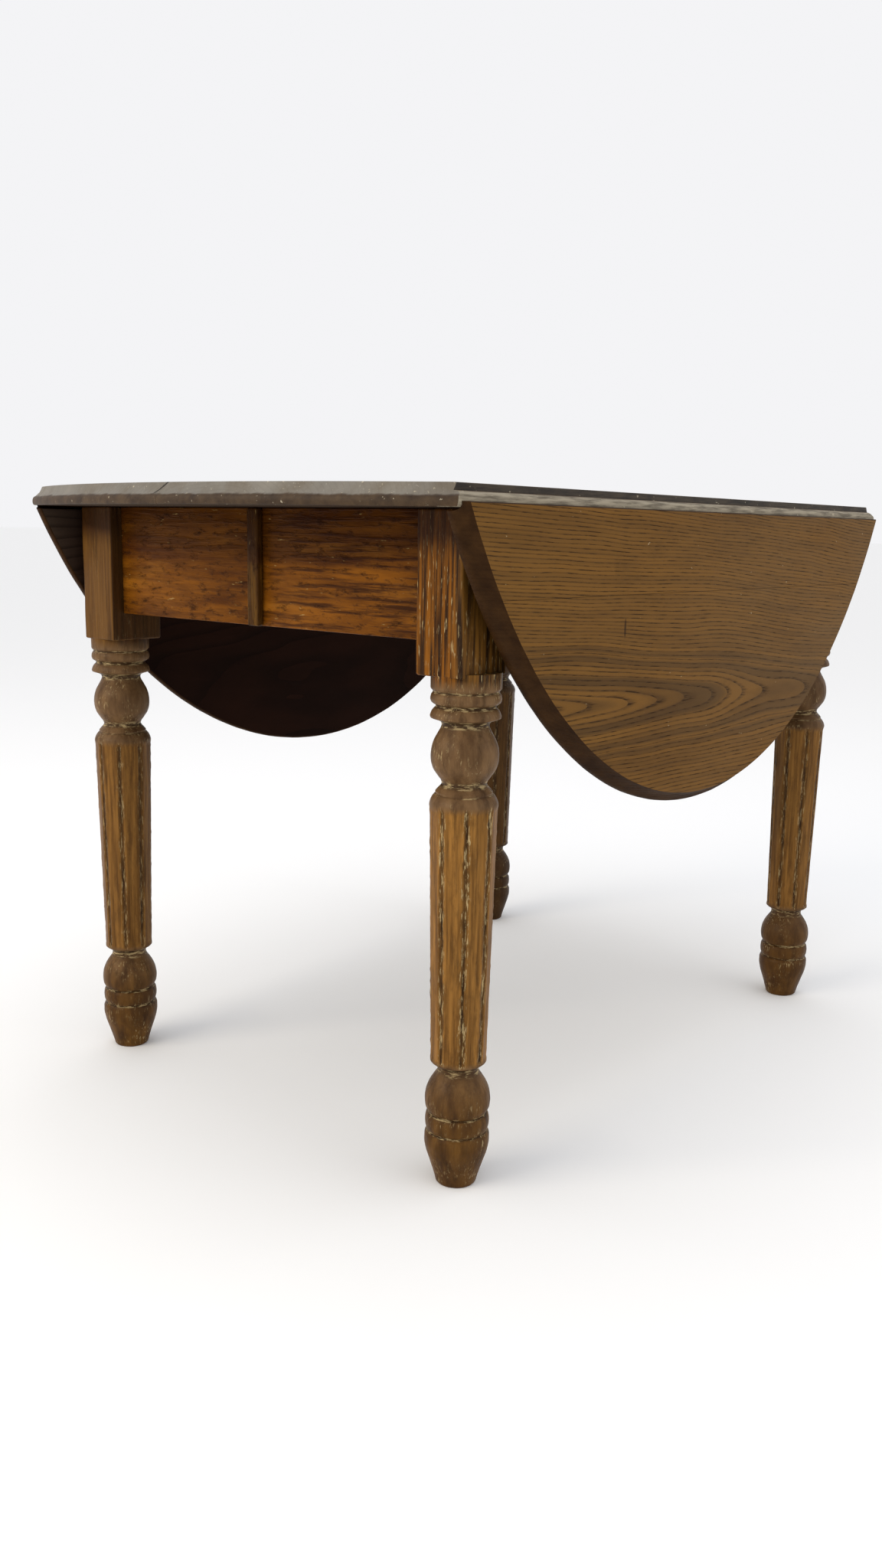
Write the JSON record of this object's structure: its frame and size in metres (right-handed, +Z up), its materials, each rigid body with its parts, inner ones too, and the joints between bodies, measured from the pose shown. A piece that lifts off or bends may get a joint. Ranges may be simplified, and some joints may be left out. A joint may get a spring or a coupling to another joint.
{
  "type": "drop leaf table",
  "caption": "Oval drop leaf table on turned, faceted legs with square blocks, rule-jointed leaves that hang at the sides and pull-out slides under them.",
  "frame": {"origin": "centre of the footprint at floor level, under the middle of the top", "axes": "X along the leaf hinges, Y across the leaves, Z up; the leaves hang at -Y and +Y"},
  "size_m": [1.135, 0.708, 0.75],
  "materials": {
    "worn_top_wood": "worn grey-brown hardwood, old finish rubbed thin",
    "leaf_wood": "open-grained brown hardwood, satin, worn",
    "turned_leg_wood": "old stained hardwood, satin, traces of cream paint",
    "varnished_apron_wood": "hardwood under old amber varnish, semi-gloss",
    "unfinished_inside_wood": "unfinished softwood, matte",
    "hinge_iron": "old stamped iron, dull",
    "hinge_pin_iron": "drawn iron wire, dull"
  },
  "bodies": {
    "frame": {"batten_a": "varnished_apron_wood", "batten_b": "varnished_apron_wood", "end_apron_a_back": "varnished_apron_wood", "end_apron_a_front": "varnished_apron_wood", "end_apron_b_back": "varnished_apron_wood", "end_apron_b_front": "varnished_apron_wood", "glue_block_a_back": "unfinished_inside_wood", "glue_block_a_front": "unfinished_inside_wood", "glue_block_b_back": "unfinished_inside_wood", "glue_block_b_front": "unfinished_inside_wood", "glue_block_back": "unfinished_inside_wood", "glue_block_front": "unfinished_inside_wood", "hinge_back_1_fixed_flap": "hinge_iron", "hinge_back_1_pin": "hinge_pin_iron", "hinge_back_2_fixed_flap": "hinge_iron", "hinge_back_2_pin": "hinge_pin_iron", "hinge_back_3_fixed_flap": "hinge_iron", "hinge_back_3_pin": "hinge_pin_iron", "hinge_front_1_fixed_flap": "hinge_iron", "hinge_front_1_pin": "hinge_pin_iron", "hinge_front_2_fixed_flap": "hinge_iron", "hinge_front_2_pin": "hinge_pin_iron", "hinge_front_3_fixed_flap": "hinge_iron", "hinge_front_3_pin": "hinge_pin_iron", "leg_a_back": "turned_leg_wood", "leg_a_front": "turned_leg_wood", "leg_b_back": "turned_leg_wood", "leg_b_front": "turned_leg_wood", "side_apron_back": "varnished_apron_wood", "side_apron_front": "varnished_apron_wood", "slide_guide_back_1": "unfinished_inside_wood", "slide_guide_back_2": "unfinished_inside_wood", "slide_guide_front_1": "unfinished_inside_wood", "slide_guide_front_2": "unfinished_inside_wood", "top_board_back": "worn_top_wood", "top_board_front": "worn_top_wood"},
    "leaf_front": {"bearer_front_1": "turned_leg_wood", "bearer_front_2": "turned_leg_wood", "hinge_front_1_leaf_flap": "hinge_iron", "hinge_front_2_leaf_flap": "hinge_iron", "hinge_front_3_leaf_flap": "hinge_iron", "leaf_front_inner_board": "leaf_wood", "leaf_front_outer_board": "leaf_wood"},
    "leaf_back": {"bearer_back_1": "turned_leg_wood", "bearer_back_2": "turned_leg_wood", "hinge_back_1_leaf_flap": "hinge_iron", "hinge_back_2_leaf_flap": "hinge_iron", "hinge_back_3_leaf_flap": "hinge_iron", "leaf_back_inner_board": "leaf_wood", "leaf_back_outer_board": "leaf_wood"},
    "slide_back_1": {"slide_back_1": "turned_leg_wood"},
    "slide_back_2": {"slide_back_2": "turned_leg_wood"},
    "slide_front_1": {"slide_front_1": "turned_leg_wood"},
    "slide_front_2": {"slide_front_2": "turned_leg_wood"}
  },
  "joints": [
    {"name": "leaf_front_hinge", "type": "hinge", "parent": "frame", "child": "leaf_front", "pos_m": [0, -0.337, 0.733], "axis": [-1, 0, 0], "range_deg": [0, 90]},
    {"name": "leaf_back_hinge", "type": "hinge", "parent": "frame", "child": "leaf_back", "pos_m": [0, 0.337, 0.733], "axis": [1, 0, 0], "range_deg": [0, 90]},
    {"name": "slide_front_1_travel", "type": "slide", "parent": "frame", "child": "slide_front_1", "axis": [0, -1, 0], "range_m": [0, 0.125]},
    {"name": "slide_front_2_travel", "type": "slide", "parent": "frame", "child": "slide_front_2", "axis": [0, -1, 0], "range_m": [0, 0.125]},
    {"name": "slide_back_1_travel", "type": "slide", "parent": "frame", "child": "slide_back_1", "axis": [0, 1, 0], "range_m": [0, 0.125]},
    {"name": "slide_back_2_travel", "type": "slide", "parent": "frame", "child": "slide_back_2", "axis": [0, 1, 0], "range_m": [0, 0.125]}
  ],
  "couplings": [
    {"joint": "slide_front_1_travel", "follows": "leaf_front_hinge", "m_per_rad": 0.07957},
    {"joint": "slide_front_2_travel", "follows": "leaf_front_hinge", "m_per_rad": 0.07957},
    {"joint": "slide_back_1_travel", "follows": "leaf_back_hinge", "m_per_rad": 0.07957},
    {"joint": "slide_back_2_travel", "follows": "leaf_back_hinge", "m_per_rad": 0.07957}
  ]
}
